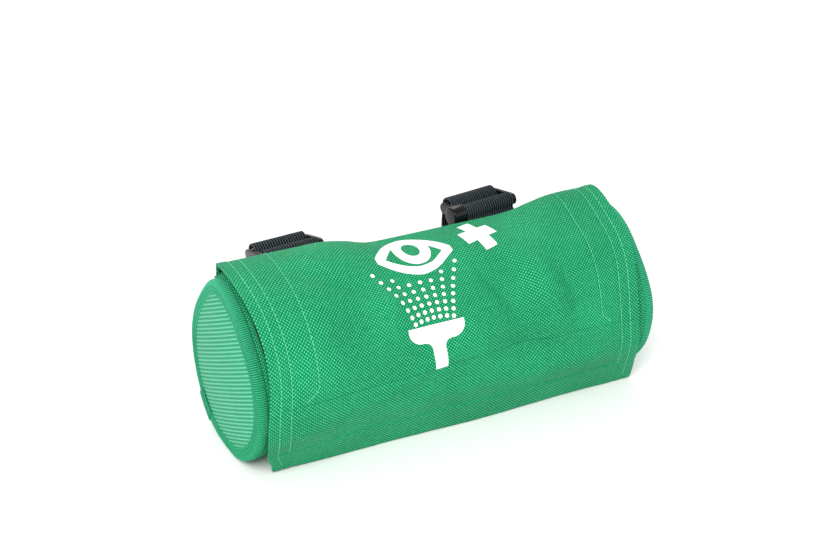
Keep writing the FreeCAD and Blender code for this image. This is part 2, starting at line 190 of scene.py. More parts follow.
def drop_loose(obj):
    """Takes away points that no face uses."""
    work = bmesh.new()
    work.from_mesh(obj.data)
    bmesh.ops.delete(work, geom=[vertex for vertex in work.verts if not vertex.link_faces], context="VERTS")
    work.to_mesh(obj.data)
    work.free()


def face_outwards(obj):
    select_only(obj)
    bpy.ops.object.mode_set(mode="EDIT")
    bpy.ops.mesh.select_all(action="SELECT")
    bpy.ops.mesh.normals_make_consistent(inside=False)
    bpy.ops.object.mode_set(mode="OBJECT")


def soften(obj, width, segments=4, sharper_than=50):
    """Rounds the edges that turn more sharply than an angle in degrees."""
    return apply_modifier(obj, "BEVEL", width=width * MM, segments=segments, limit_method="ANGLE",
                          angle_limit=math.radians(sharper_than))


def thicken(obj, thickness, edge):
    """Gives a sheet its thickness on the inner side, with softened edges."""
    drop_loose(obj)
    apply_modifier(obj, "SOLIDIFY", thickness=thickness * MM, offset=-1.0, use_rim=True)
    face_outwards(obj)
    soften(obj, edge, 2, 55)
    obj.data.polygons.foreach_set("use_smooth", [True] * len(obj.data.polygons))


def finish_piece(obj, material, body=None, node=None):
    """Its material, the body it rides on and the CAD node it stands for."""
    obj.data.materials.clear()
    obj.data.materials.append(material)
    if body:
        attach(obj, body)
    if node:
        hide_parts(node)


def ring_faces(rings, wide, first=0, closed=False):
    """Faces between rings of points, each ring wide points round, and from the last ring to the first."""
    faces = []
    for ring in range(rings if closed else rings - 1):
        here, after = first + ring * wide, first + (ring + 1) % rings * wide
        faces += [(here + k, here + (k + 1) % wide, after + (k + 1) % wide, after + k) for k in range(wide)]
    return faces


def other_way_round(faces):
    """The same faces seen from their other side."""
    return [(a, d, c, b) for a, b, c, d in faces]


# ---- materials ----

CLOTH_SPECULAR = 0.08  # dyed fibres hardly mirror anything
YARN_FLECKS = 0.42 / MM  # a paler fleck about every 2.4 mm
THREAD_FLECKS = 0.5 / MM  # every 2 mm
DYE_CLOUDS = 0.028 / MM  # the dye varies over about 36 mm
GLOSS_CLOUDS = 0.06 / MM  # the gloss over about 17 mm


def colour(text):
    """An sRGB hex value as linear red, green, blue and alpha."""
    channels = [int(text[index:index + 2], 16) / 255 for index in (1, 3, 5)]
    linear = [c / 12.92 if c <= 0.04045 else ((c + 0.055) / 1.055) ** 2.4 for c in channels]
    return (*linear, 1.0)


def add(tree, kind, values=None, links=None, **settings):
    """A shader node with its settings, its input values and its links."""
    made = tree.nodes.new("ShaderNode" + kind)
    for name, value in settings.items():
        setattr(made, name, value)
    for name, value in (values or {}).items():
        made.inputs[name].default_value = value
    for name, source in (links or {}).items():
        tree.links.new(source, made.inputs[name])
    return made


def new_material(name, **shader_values):
    """A material with its shader; returns the material, its node tree and the shader node."""
    material = bpy.data.materials.new(name)
    material.use_nodes = True
    tree = material.node_tree
    shader = tree.nodes["Principled BSDF"]
    for socket, value in shader_values.items():
        shader.inputs[socket.replace("_", " ")].default_value = value
    return material, tree, shader


def dye_and_relief(tree, shader, shades, share, height, strength, depth, tint=None):
    """A colour between two shades by share, tinted by a factor, and a relief of a depth in millimetres."""
    mixed = add(tree, "Mix", {6: colour(shades[0]), 7: colour(shades[1])}, {0: share},
                data_type="RGBA")
    dyed = mixed.outputs[2]
    if tint is not None:
        dyed = add(tree, "VectorMath", links={0: dyed, 1: tint}, operation="MULTIPLY").outputs[0]
    bump = add(tree, "Bump", {"Strength": strength, "Distance": depth * MM}, {"Height": height})
    tree.links.new(dyed, shader.inputs["Base Color"])
    tree.links.new(bump.outputs[0], shader.inputs["Normal"])


def wave(tree, axis_value, pitch):
    """The sine of a length along one axis, one turn in two pitches."""
    turned = add(tree, "Math", {1: math.pi / (pitch * MM)}, {0: axis_value}, operation="MULTIPLY")
    return add(tree, "Math", links={0: turned.outputs[0]}, operation="SINE").outputs[0]


def plain_weave(name, dark, light, pitch, roughness, relief):
    """Woven yarns: each crossing is a rounded dome, and every second one catches the light."""
    material, tree, shader = new_material(name, Roughness=roughness, Specular_IOR_Level=CLOTH_SPECULAR)
    place = add(tree, "UVMap", uv_map="cloth").outputs["UV"]
    split = add(tree, "SeparateXYZ", links={0: place})
    across = wave(tree, split.outputs[0], pitch)
    along = wave(tree, split.outputs[1], pitch)
    checks = add(tree, "Math", links={0: across, 1: along}, operation="MULTIPLY").outputs[0]
    fleck = add(tree, "TexNoise", {"Scale": YARN_FLECKS, "Detail": 2.0}, {"Vector": place})
    cloud = add(tree, "TexNoise", {"Scale": DYE_CLOUDS, "Detail": 3.0}, {"Vector": place})
    # A crown's painted highlight is mostly its height in the weave, and a third its own fleck.
    uneven = add(tree, "Math", {1: 0.36}, {0: fleck.outputs["Fac"]}, operation="MULTIPLY")
    lifted = add(tree, "Math", {1: 0.5}, {0: checks, 2: uneven.outputs[0]}, operation="MULTIPLY_ADD")
    crest_highlight_and_fleck = add(tree, "MapRange", {"From Min": 0.2, "From Max": 0.6}, {"Value": lifted.outputs[0]},
               interpolation_type="SMOOTHSTEP")
    shade = add(tree, "MapRange", {"From Min": 0.3, "From Max": 0.7, "To Min": 0.88, "To Max": 1.08},
                {"Value": cloud.outputs["Fac"]})
    dome = add(tree, "Math", links={0: checks}, operation="ABSOLUTE")
    height = add(tree, "Math", {1: 0.45}, {0: checks, 2: dome.outputs[0]}, operation="MULTIPLY_ADD")
    dye_and_relief(tree, shader, (dark, light), crest_highlight_and_fleck.outputs[0], height.outputs[0], 0.8, relief,
                   shade.outputs[0])
    return material


def ribbed_cloth(name, dark, light, rib_axis, rib_pitch, thread_pitch, roughness, relief):
    """Ribs across one axis of the cloth, each rib made of short crossing threads, their crests painted paler
    as a highlight.
    """
    material, tree, shader = new_material(name, Roughness=roughness, Specular_IOR_Level=CLOTH_SPECULAR)
    place = add(tree, "UVMap", uv_map="cloth").outputs["UV"]
    split = add(tree, "SeparateXYZ", links={0: place})
    ribs = wave(tree, split.outputs[rib_axis], rib_pitch / 2)
    threads = wave(tree, split.outputs[1 - rib_axis], thread_pitch / 2)
    fleck = add(tree, "TexNoise", {"Scale": THREAD_FLECKS, "Detail": 2.0}, {"Vector": place})
    beaded = add(tree, "Math", {1: 0.25}, {0: threads, 2: ribs}, operation="MULTIPLY_ADD")
    spotted = add(tree, "Math", links={0: beaded.outputs[0], 1: fleck.outputs["Fac"]},
                  operation="ADD")
    # The share of the pale shade is a painted highlight on the rib crests, with a random fleck.
    crest_highlight_and_fleck = add(tree, "MapRange", {"From Min": -0.2, "From Max": 1.6}, {"Value": spotted.outputs[0]},
               interpolation_type="SMOOTHSTEP")
    dye_and_relief(tree, shader, (dark, light), crest_highlight_and_fleck.outputs[0], beaded.outputs[0], 0.9, relief)
    return material


def nap(name, dark, light, grain, roughness):
    """Short fibres or hooks, too fine to model: a coarse noise in colour and height."""
    material, tree, shader = new_material(name, Roughness=roughness, Specular_IOR_Level=0.05,
                                          Sheen_Weight=0.08, Sheen_Roughness=0.5)
    place = add(tree, "TexCoord").outputs["Object"]
    fibre = add(tree, "TexNoise", {"Scale": 1 / (grain * MM), "Detail": 3.0}, {"Vector": place})
    hooks = add(tree, "TexVoronoi", {"Scale": 1 / (grain * MM)}, {"Vector": place})
    dye_and_relief(tree, shader, (dark, light), fibre.outputs["Fac"], hooks.outputs["Distance"], 0.9, 0.4)
    return material


def moulded(name, dark, light, grain, rough_low, rough_high, relief, **shader_values):
    """A smooth finish, such as moulded plastic, ink, film or thread: faint texture, uneven gloss."""
    material, tree, shader = new_material(name, **shader_values)
    place = add(tree, "TexCoord").outputs["Object"]
    cloud = add(tree, "TexNoise", {"Scale": GLOSS_CLOUDS, "Detail": 3.0}, {"Vector": place})
    fine = add(tree, "TexNoise", {"Scale": 1 / (grain * MM), "Detail": 2.0}, {"Vector": place})
    rough = add(tree, "MapRange",
                {"From Min": 0.3, "From Max": 0.7, "To Min": rough_low, "To Max": rough_high},
                {"Value": cloud.outputs["Fac"]})
    tree.links.new(rough.outputs[0], shader.inputs["Roughness"])
    dye_and_relief(tree, shader, (dark, light), cloud.outputs["Fac"], fine.outputs["Fac"], 0.5, relief)
    return material


# Coated nylon, plain woven, with a soft satin shine: its crowns are painted paler, a painted highlight where
# they catch the light, on a deeper green ground. Its yarns are about 0.5 mm apart, too fine to show, so they
# are drawn nearly twice as coarse.
nylon = plain_weave("woven_nylon_green", "#00804C", "#58D2A2", 0.92, 0.5, 0.3)
# Ribbed nylon of the ends, paler because its broad ribs catch the light.
end_nylon = ribbed_cloth("ribbed_nylon_green", "#27A475", "#74D3AC", 1, 2.0, 1.1, 0.5, 0.35)
# Grosgrain edge tape: fine ribs across its length, their crests painted paler as a highlight.
GROSGRAIN_RIB = 1.15
grosgrain = ribbed_cloth("grosgrain_green", "#0B8A5A", "#4FC294", 0, GROSGRAIN_RIB, 0.7, 0.55, 0.25)
# Polypropylene webbing: glossy black ribs along the strap with crossing threads; the grey on the rib crests
# is a painted highlight.
WEBBING_RIB = 1.45
webbing_black = ribbed_cloth("webbing_black", "#020304", "#465055", 1, WEBBING_RIB, 1.2, 0.45, 0.35)
# Bonded polyester sewing thread: the colour of the cloth in the hem, paler in the long rows.
thread_green = moulded("thread_green", "#1F9F6E", "#3DB385", 0.3, 0.5, 0.65, 0.05,
                       Specular_IOR_Level=0.1)
thread_pale = moulded("thread_pale_green", "#4CC498", "#80DDB8", 0.3, 0.5, 0.65, 0.05,
                      Specular_IOR_Level=0.1)
# Nylon hook tape and napped loop tape.
hook_black = nap("hook_tape_black", "#020203", "#141517", 0.7, 0.8)
loop_black = nap("loop_tape_black", "#030304", "#161719", 0.35, 0.95)
# Acetal moulding, nearly black, polished by its mould.
acetal = moulded("acetal_black", "#0A0B0D", "#15171A", 0.5, 0.16, 0.26, 0.03, Specular_IOR_Level=0.25)
# Screen ink: opaque, matt white, thin enough to show the weave.
ink_white = moulded("screen_ink_white", "#F4F7F5", "#FFFFFF", 0.9, 0.55, 0.7, 0.1)
# Blow-moulded polyethylene: milky and waxy.
polyethylene = moulded("polyethylene_milky", "#C3CDC8", "#D4DCD8", 0.8, 0.32, 0.42, 0.03,
                       Subsurface_Weight=0.25, Subsurface_Scale=0.004)
# Salt water: clear, with water's own refraction.
saline_clear = moulded("saline_clear", "#DDECEC", "#E8F4F4", 1.0, 0.05, 0.08, 0.01,
                       Transmission_Weight=0.9, IOR=1.33)
# Printed polypropylene film, with a low gloss, and a soft silicone seal.
film_label = moulded("film_label", "#D9DEDB", "#E6EAE8", 0.6, 0.28, 0.36, 0.01)
film_green = moulded("film_label_green", "#0F8F5C", "#17A06A", 0.6, 0.28, 0.36, 0.01)
rubber_grey = moulded("silicone_grey", "#A4A9A8", "#B6BAB9", 0.5, 0.5, 0.6, 0.03)
# Polypropylene mouldings: the cup natural, the cap green.
polypropylene = moulded("polypropylene_natural", "#C2D2CB", "#D5DFDA", 0.7, 0.22, 0.3, 0.02,
                        Subsurface_Weight=0.2, Subsurface_Scale=0.003)
polypropylene_green = moulded("polypropylene_green", "#0B7D4E", "#12915C", 0.7, 0.25, 0.35, 0.03)


# ---- flap ----

def pouch_polar(radius, angle):
    """(y, z) at a radius and angle about the pouch's axis."""
    return radius * math.cos(angle), AXIS_Z + radius * math.sin(angle)


FLAP_CORNER = pouch_polar(FLAP_RADIUS, FLAP_TURN)
SKIRT = (FLAP_CORNER[1] - FLAP_LOWEST) / -math.cos(FLAP_TURN)
FLAP_LENGTH = SKIRT + FLAP_RADIUS * (FLAP_TURN - HINGE_ANGLE)
FLAP_SEWN = 5.0  # past the hinge the cloth lies on the root strip and is sewn down

# Sags of the flap between the ends: place across, half width, place round, half width, depth.
FLAP_SAGS = [(-4, 28, 86, 26, 2.6), (42, 16, 84, 22, 1.8), (8, 46, 122, 22, 4.0)]
# Soft dents: place across, place up from the lower edge, half width, half height, rise.
FLAP_DENTS = [(-50, 98, 14, 12, -2.6), (-34, 86, 8, 16, 3.36), (-26, 100, 8, 10, -1.8),
              (34, 66, 12, 26, -3.78), (52, 84, 9, 22, 3.15), (66, 62, 10, 24, -3.36),
              (74, 112, 10, 12, -1.6), (18, 104, 10, 12, 1.0), (-68, 60, 18, 18, 2.1),
              (8, 44, 34, 9, -2.52), (58, 30, 22, 10, 2.52), (-20, 62, 18, 12, -2.1),
              (88, 60, 10, 26, -1.68), (-84, 30, 14, 16, 1.68)]
# Long slack folds: place across and up, heading in degrees, half length, half width, rise.
FLAP_FOLDS = [(-60, 104, 150, 20, 5, -1.6), (-46, 92, 158, 20, 4, 1.1), (24, 84, 112, 24, 5, -2.2),
              (44, 88, 106, 24, 5, 2.0), (62, 78, 112, 26, 5, -2.0), (-34, 46, 14, 34, 6, 1.8),
              (34, 48, 162, 34, 6, -2.0), (-2, 110, 100, 12, 4, -1.0)]


def side_distance(x):
    return FLAP_HALF - abs(x)


def flap_angle(s):
    """The angle about the pouch's axis, in degrees, at a distance up from the flap's lower edge."""
    return math.degrees(FLAP_TURN - max(0.0, s - SKIRT) / FLAP_RADIUS)


def flap_swell(x, s):
    """How far the flap's cloth stands off its even drum shape, outwards."""
    angle = flap_angle(s)
    # The stiff ends hold the cloth up: far in on the left, on top only on the right.
    slant = angle - 62
    rise = ramp(12 + 0.42 * slant, 50 + 0.38 * slant, -x) * (6.4 - 4.8 * ramp(128, 190, angle))
    rise += ramp(38, 84, x) * 5.4 * (1 - ramp(74, 112, angle)) + 0.5 * ramp(60, 100, x)
    for cx, wide, turn, tall, depth in FLAP_SAGS:
        rise -= depth * hump(x, cx, wide) * hump(angle, turn, tall)
    for cx, cs, wide, tall, height in FLAP_DENTS:
        rise += height * hump(x, cx, wide) * hump(s, cs, tall)
    for cx, cs, heading, long, wide, height in FLAP_FOLDS:
        turn = math.radians(heading)
        along = (x - cx) * math.cos(turn) + (s - cs) * math.sin(turn)
        across = -(x - cx) * math.sin(turn) + (s - cs) * math.cos(turn)
        rise += height * hump(along, 0, long) * hump(across, 0, wide)
    rise += 0.45 * ripple(x, s, 24, 3.1) + 0.18 * ripple(x, s, 9, 7.7)
    rise += 0.5 * math.sin(x / 21 + 0.6) * (1 - ramp(0, 26, s))  # the hem waves a little
    return rise * ramp(FLAP_LENGTH - 1, FLAP_LENGTH - 8.5, s)


def stitched_lines(x, s):
    """Distance to the nearest row of stitches on the flap."""
    edge = side_distance(x)
    rows = [abs(edge - HEM_SIDE), abs(edge - TAPE_LINE_OUTER), abs(s - HEM_BOTTOM)]
    if s > TAPE_LINE_LOW + INNER_ROW_FOOT:
        rows.append(abs(edge - TAPE_LINE_INNER))
    if edge > HEM_SIDE:
        rows.append(abs(s - TAPE_LINE_LOW))
    return min(rows)


def flap_detail(x, s):
    """Folded hems stand a little proud, and stitches pull the cloth in."""
    hem = max(1 - ramp(line - 0.3, line + 0.5, place)
              for line, place in ((HEM_SIDE, side_distance(x)), (HEM_BOTTOM, s)))
    return 0.35 * hem - 0.3 * hump(stitched_lines(x, s), 0, 0.55)


def flap_shift(x, s):
    """How far the cloth is pulled along the pouch: the right edge gathers in at the front."""
    angle = flap_angle(s)
    right = -5.2 * hump(angle, 168, 34) + 1.4 * ramp(96, 70, angle) + 4.4 * ramp(30, 0, s)
    left = 3.4 * ramp(16, 0, s) - 2.9 * hump(s, 36, 20) - 3.2 * hump(angle, 86, 34)
    return ramp(58, 104, x) * right + ramp(58, 104, -x) * left


def flap_point(x, s, lift=0.0):
    """A point on the flap's outside: x across, s up from its lower edge, lift outwards."""
    if s < SKIRT:
        below = SKIRT - s
        angle = FLAP_TURN
        y = FLAP_CORNER[0] - math.sin(FLAP_TURN) * below
        z = FLAP_CORNER[1] + math.cos(FLAP_TURN) * below
    else:
        angle = FLAP_TURN - (s - SKIRT) / FLAP_RADIUS
        y, z = pouch_polar(FLAP_RADIUS, angle)
    # Past the hinge the cloth sinks onto the root strip; its lower edge tucks under the drum, is up
    # at the left corner and sags in the middle, and nothing goes below the floor.
    out = flap_swell(x, s) + lift - 0.75 * ramp(FLAP_LENGTH - 4, FLAP_LENGTH + 1, s)
    tuck = (2.6 + 2.4 * ramp(60, 104, -x)) * (1 - ramp(0, 34, s))
    z += math.sin(angle) * out + (1.3 * ramp(70, 104, -x) - 1.4 * hump(x, 10, 70)) * ramp(20, 0, s)
    return (x + flap_shift(x, s), y + math.cos(angle) * out + tuck, max(0.35 - min(0.0, lift), z))


def bend_at_hinge(obj):
    """Bakes the piece's placement into its mesh; the two ends of the short stretch at the root seam, where
    the cloth turns from the pouch to the flap, are worked out, but the cloth is not bent.
    """
    back = math.degrees(HINGE_ANGLE) - 3
    front = math.degrees(HINGE_ANGLE) + 13
    points = [pouch_polar(FLAP_RADIUS, math.radians(angle)) for angle in (back, front)]
    start, end = [(0, y * MM, z * MM) for y, z in points]
    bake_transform(obj)
    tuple(start)
    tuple(end)


def make_flap():
    edges = [sign * (FLAP_HALF - line) for line in (HEM_SIDE, TAPE_LINE_OUTER, TAPE_LINE_INNER)
             for sign in (-1, 1)]
    columns = with_lines(steps(-FLAP_HALF, FLAP_HALF, 1.25), edges)
    rows = with_lines(steps(0, FLAP_LENGTH + FLAP_SEWN, 1.25), [HEM_BOTTOM, TAPE_LINE_LOW])
    flap = cloth_sheet("flap", columns, rows, lambda x, s: flap_point(x, s, flap_detail(x, s)))
    thicken(flap, FLAP_THICK, 0.45)
    finish_piece(flap, nylon, node="flap_panel")
    bend_at_hinge(flap)


# A stitch from end to end: share of its length, height over the cloth, share of its girth.
STITCH = [(0.0, -0.25, 0.35), (0.12, 0.05, 0.9), (0.5, 0.16, 1.0), (0.88, 0.05, 0.9), (1.0, -0.25, 0.35)]


def thread_rows(name, rows, surface, material, radius, pitch=2.8, length=2.5):
    """Rows of stitches on a surface: each stitch is a short raised strand that dips in at both ends."""
    points, faces = [], []
    sides = 6
    for row in rows:
        for (u0, v0), (u1, v1) in zip(row, row[1:]):
            run = math.hypot(u1 - u0, v1 - v0)
            count = max(1, round(run / pitch))
            for index in range(count):
                first = (index + 0.1) * run / count
                base = len(points)
                for share, rise, girth in STITCH:
                    along = (first + share * length * run / count / pitch) / run
                    u, v = u0 + (u1 - u0) * along, v0 + (v1 - v0) * along
                    centre = Vector(surface(u, v, rise))
                    out = (Vector(surface(u, v, rise + 1)) - centre).normalized()
                    nearby = surface(u + (u1 - u0) / run * 0.1, v + (v1 - v0) / run * 0.1, rise)
                    side = (Vector(nearby) - centre).cross(out).normalized()
                    for k in range(sides):
                        turn = 2 * math.pi * k / sides
                        round_it = side * math.cos(turn) + out * math.sin(turn)
                        points.append(centre + round_it * radius * girth)
                faces += ring_faces(len(STITCH), sides, base)
                last = base + (len(STITCH) - 1) * sides
                faces.append(tuple(base + k for k in reversed(range(sides))))
                faces.append(tuple(last + k for k in range(sides)))
    obj = mesh_piece(name, points, faces)
    face_outwards(obj)
    finish_piece(obj, material)
    return obj


def make_flap_stitches():
    top = FLAP_LENGTH - 3
    rows = []
    for sign in (-1, 1):
        hem, outer, inner = [sign * (FLAP_HALF - line)
                             for line in (HEM_SIDE, TAPE_LINE_OUTER, TAPE_LINE_INNER)]
        foot = TAPE_LINE_LOW + INNER_ROW_FOOT
        rows.append([(hem, 3), (hem, top)])
        rows.append([(outer, HEM_BOTTOM), (outer, top)])
        rows.append([(inner + sign * 6, foot - 5), (inner, foot), (inner, top)])
    half = FLAP_HALF - HEM_SIDE - 1.5
    root, hem, low = [[(-half, s), (half, s)]
                      for s in (FLAP_LENGTH + FLAP_SEWN / 2, HEM_BOTTOM, TAPE_LINE_LOW)]
    bend_at_hinge(thread_rows("flap_stitches", rows + [root], flap_point, thread_pale, 0.17))
    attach(thread_rows("flap_hem_stitches", [hem, low], flap_point, thread_green, 0.14), "flap")


def make_hook_tape(name, node, x0, x1, s0, s1):
    """Hook tape sewn to the flap's inner face."""
    under = -FLAP_THICK - 0.05
    tape = cloth_sheet(name, steps(x0, x1, 2.5), steps(s0, s1, 2.0), lambda x, s: flap_point(x, s, under))
    thicken(tape, TAPE_THICK, 0.25)
    finish_piece(tape, hook_black, node=node)
    bend_at_hinge(tape)


def make_hook_tapes():
    inner, outer, low, high = FLAP_HALF - 26, FLAP_HALF - 1.2, 12.5, FLAP_LENGTH - 4.5
    make_hook_tape("hook_tape_left", "left_hook_tape", -outer, -inner, low, high)
    make_hook_tape("hook_tape_right", "right_hook_tape", inner, outer, low, high)
    make_hook_tape("hook_tape_front", "front_hook_tape", -inner + 0.4, inner - 0.4, low, TAPE_LINE_LOW - 1.5)


# ---- print ----

# The top of the nozzle is the drawing's own zero.
PRINT_X = -14.5
PRINT_S = 71.5
INK = 0.12


def oval_loop(cx, cy, half_width, half_height, count=48):
    turns = [2 * math.pi * k / count for k in range(count)]
    return [(cx + half_width * math.cos(turn), cy + half_height * math.sin(turn)) for turn in turns]


def eye_loop(cx, cy, half_width, above, below, blunt, count=40):
    """An eye's outline: a high upper lid and a lower lid that meet in blunt corners."""
    upper, lower = [], []
    for k in range(count + 1):
        t = 2 * k / count - 1
        lid = 1 - abs(t) ** 1.75
        upper.append((cx + half_width * t, cy + above * lid + blunt * abs(t) ** 3))
        lower.append((cx + half_width * t, cy - below * lid - blunt * abs(t) ** 3))
    return upper + lower[::-1]


def nozzle_loop():
    """The spray head seen from its side: a bar with rounded lower corners on a stem."""
    half, thick, corner, stem, foot, fillet = 15.2, 8.6, 7.0, 3.4, 23.0, 4.0
    right = [(half, 0)]
    right += [(half - corner + corner * math.cos(turn), -thick + corner - corner * math.sin(turn))
              for turn in steps(0, math.pi / 2, math.pi / 16)]
    right += [(stem + fillet - fillet * math.sin(turn), -thick - fillet + fillet * math.cos(turn))
              for turn in steps(0, math.pi / 2, math.pi / 12)]
    right.append((stem, -foot))
    return right + [(-x, y) for x, y in reversed(right)]


def cross_loop(cx, cy, size, arm, tall, lean):
    """An upright cross, stretched and turned a little, as it is printed."""
    a, b = size / 2, arm / 2
    corners = [(b, a), (b, b), (a, b), (a, -b), (b, -b), (b, -a)]
    corners += [(-x, -y) for x, y in corners]
    cos, sin = math.cos(lean), math.sin(lean)
    return [(cx + x * cos - y * sin, cy + tall * (x * sin + y * cos)) for x, y in corners]


def unite(obj, other):
    """Joins another closed solid to a piece, and removes it."""
    apply_modifier(obj, "BOOLEAN", operation="UNION", object=other, solver="EXACT")
    bpy.data.objects.remove(other)


def flat_ink(name, loops):
    """Closed outlines, holes among them, filled as a thin flat solid."""
    curve = bpy.data.curves.new(name, "CURVE")
    curve.dimensions = "2D"
    curve.fill_mode = "BOTH"
    curve.extrude = INK / 2
    for loop in loops:
        spline = curve.splines.new("POLY")
        spline.points.add(len(loop) - 1)
        for point, (x, y) in zip(spline.points, loop):
            point.co = (x, y, 0, 1)
        spline.use_cyclic_u = True
    select_only(new_object(name, curve))
    bpy.ops.object.convert(target="MESH")
    obj = bpy.context.view_layer.objects.active
    apply_modifier(obj, "WELD", merge_threshold=0.001)
    return obj


def lay_on_flap(obj, step=1.6):
    """Cuts a flat drawing into small cells and lays it on the flap's outside."""
    work = bmesh.new()
    work.from_mesh(obj.data)
    for axis in range(2):
        low = min(vertex.co[axis] for vertex in work.verts)
        high = max(vertex.co[axis] for vertex in work.verts)
        place = low + step
        while place < high:
            normal = Vector((1 - axis, axis, 0))
            bmesh.ops.bisect_plane(work, geom=work.verts[:] + work.edges[:] + work.faces[:], dist=0.0001,
                                   plane_co=normal * place, plane_no=normal)
            place += step
    for vertex in work.verts:
        x, y, z = vertex.co
        s = PRINT_S + y
        lift = z + INK / 2 + 0.06 + flap_detail(PRINT_X + x, s)
        vertex.co = Vector(flap_point(PRINT_X + x, s, lift)) * MM
    work.to_mesh(obj.data)
    work.free()


def drop_loops():
    """Drops that fan out from the nozzle to the eye, the middle ones left out where the eye is."""
    loops = []
    for row in range(8):
        height = 3.4 + 3.55 * row + 0.13 * row ** 2
        half_width = 10.5 + 0.9 * row + 0.12 * row ** 2
        for share in steps(-1, 1, 1 / 3):
            if row < 6 or (row == 6 and abs(share) > 0.6) or abs(share) > 0.9:
                loops.append(oval_loop(share * half_width, height - 1.5 * share ** 2, 1.05, 1.15, 14))
    return loops


def make_print():
    x, y = 4.2, 42.8
    rim = flat_ink("print", [eye_loop(x, y, 20.8, 21.0, 13.8, 2.0), eye_loop(x, y, 15.6, 15.0, 8.2, 0.0)])
    iris = flat_ink("iris", [oval_loop(x + 0.8, y + 6.0, 9.8, 12.4), oval_loop(x + 0.8, y + 6.6, 4.6, 6.4)])
    iris.data.transform(Matrix.Translation((0, 0, 0.00002)))  # no two faces in one plane
    unite(rim, iris)
    rest = flat_ink("rest", [nozzle_loop(), cross_loop(43.0, 49.5, 19.0, 7.4, 1.5, 0.2)] + drop_loops())
    select_only(rim)
    rest.select_set(True)
    bpy.ops.object.join()
    rim.name = "flap_pictogram"
    lay_on_flap(rim)
    for polygon in rim.data.polygons:
        polygon.use_smooth = False
    face_outwards(rim)
    finish_piece(rim, ink_white, "flap", "flap_print")


# ---- pouch ----

# The soft ends aren't square to the pouch: how far each rim stands along X, as a steady part,
# a part that grows to the back and a part that grows to the top.
END_LEAN = {-1: (-2.6, -2.4, 2.0), 1: (-1.4, -3.0, 1.8)}
# Nor are they round: each end is drawn in at these turns (degrees), half widths and depths.
END_EGG = {-1: [(36, 32, 2.6), (132, 32, 4.6), (80, 20, -2.4)],
           1: [(36, 32, 3.0), (137, 30, 5.4), (84, 22, -1.0)]}
END_SWELL = 4.2


def end_lean(side, angle):
    steady, back, top = END_LEAN[side]
    turn = math.radians(angle)
    return steady + back * math.cos(turn) + top * math.sin(turn)


def wall_point(x, angle, lift=0.0):
    """A point on the rolled wall's outside: x along, an angle in degrees about the axis, lift outwards."""
    side = 1 if x > 0 else -1
    share = ramp(74, WALL_HALF, abs(x))
    egg = sum(depth * turn_hump(angle, centre, wide) for centre, wide, depth in END_EGG[side])
    if side < 0:
        egg -= 4.5 * turn_hump(angle, 70, 16) * hump(x, -100, 5)  # fills the flap's left corner
    # The edge tape's seam stands up in a ridge with a shallow groove beside it.
    hug = 1.1 * hump(abs(x), WALL_HALF - 4.5, 2.6) - 0.7 * hump(abs(x), WALL_HALF - 9.0, 1.6)
    turn = math.radians(angle)
    around = Vector((x / 26, 1.7 * math.cos(turn), 1.7 * math.sin(turn)))
    slack = 0.5 * noise.noise(around) + 0.2 * noise.noise(around * 2.6)
    y, z = pouch_polar(POUCH_RADIUS - egg * share + hug + lift + slack, turn)
    floor = 0.05 + max(0.0, lift)
    if z < floor + 2.0:  # eased flat where it rests
        z = floor + 2.0 * math.exp((z - floor - 2.0) / 2.0)
    return (x + end_lean(side, angle) * ramp(78, WALL_HALF, abs(x)), y, z)


def make_wall():
    """One tube of cloth whose mouth is left out, from the back edge down, under and up to the front edge."""
    back, front = math.degrees(MOUTH_BACK), math.degrees(MOUTH_FRONT)
    columns = sorted(set(steps(-WALL_HALF, -MOUTH_HALF, 0.8) + steps(-MOUTH_HALF, MOUTH_HALF, 2.4)
                         + steps(MOUTH_HALF, WALL_HALF, 0.8)))
    rows = steps(back, front, 2.0) + steps(front, back + 360, 2.0)[1:]

    def keep(x, angle):
        return abs(x) > MOUTH_HALF or angle > front

    wall = cloth_sheet("wall", columns, rows, wall_point, keep)
    layer = wall.data.uv_layers["cloth"]
    for entry in layer.data:
        entry.uv = (entry.uv[0], math.radians(entry.uv[1]) * POUCH_RADIUS)
    apply_modifier(wall, "WELD", merge_threshold=0.00005)
    wall.data.flip_normals()
    thicken(wall, WALL_THICK, 0.4)
    finish_piece(wall, nylon, "pouch", "pouch_wall")


def rim_point(side, angle, outward=0.0, beyond=0.0):
    """A point at the edge of an end: outward from the axis and beyond the wall's end along the pouch."""
    x, y, z = wall_point(side * WALL_HALF, angle, outward)
    return Vector((x + side * beyond, y, z))


def make_end_panel(side, word):
    """A soft disc sewn into the end of the wall, swelling a little outwards."""
    turns = steps(0, 360, 3)[:-1]
    rings = 22
    hub = sum((rim_point(side, angle) for angle in turns), Vector()) / len(turns)
    points, uvs = [], []

    def ribs_at(place):
        """The disc was cut with its ribs a third of a right angle off level."""
        cos, sin = math.cos(math.radians(29)), math.sin(math.radians(29))
        return place.y * cos - place.z * sin, place.y * sin + place.z * cos

    for ring in range(1, rings + 1):
        share = ring / rings
        for angle in turns:
            rim = rim_point(side, angle, -0.3, 1.2)
            place = hub.lerp(rim, share)
            waves = 0.35 * ripple(place.y, place.z, 18, 2.0 + side) * (1 - share)
            place.x += side * (END_SWELL * (1 - share ** 2) + waves)
            points.append(place)
            uvs.append(ribs_at(place))
    points.append(hub + Vector((side * END_SWELL, 0, 0)))
    uvs.append(ribs_at(hub))
    count = len(turns)
    faces = ring_faces(rings, count) + [(len(points) - 1, (k + 1) % count, k) for k in range(count)]
    panel = mesh_piece("end_panel_" + word, points, faces, uvs)
    face_outwards(panel)
    if (panel.data.polygons[0].normal.x > 0) != (side > 0):
        panel.data.flip_normals()
    thicken(panel, 1.4, 0.3)
    finish_piece(panel, end_nylon, "pouch", word + "_end_panel")


